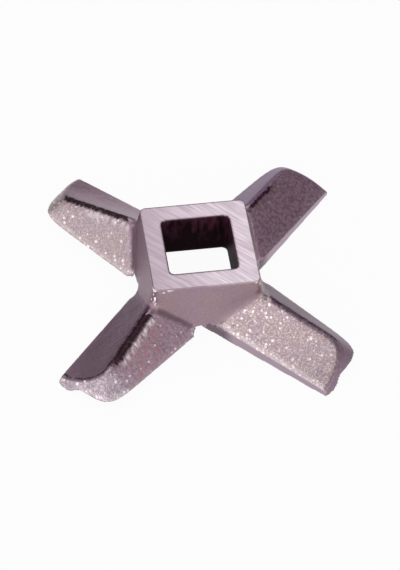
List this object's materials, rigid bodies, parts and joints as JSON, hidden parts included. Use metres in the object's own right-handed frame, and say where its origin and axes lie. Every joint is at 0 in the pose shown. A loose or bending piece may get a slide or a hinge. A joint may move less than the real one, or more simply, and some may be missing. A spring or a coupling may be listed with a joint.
{
  "type": "meat grinder knife",
  "caption": "Cast cross-shaped grinder knife: a square hub with a square drive hole carries ridged arms that each end in a flat cutting land.",
  "frame": {"origin": "axis of the square drive hole at the cutting plane", "axes": "+Z along the hole's axis from the cutting plane to the hub's ground top; X and Y square to the hub's sides, so the arms stand on the diagonals"},
  "size_m": [0.0532, 0.0532, 0.0114],
  "materials": {
    "cast_metal": "blasted casting, ground on the hub's top and on the cutting faces"
  },
  "bodies": {
    "root": {"knife": "cast_metal"}
  },
  "joints": []
}
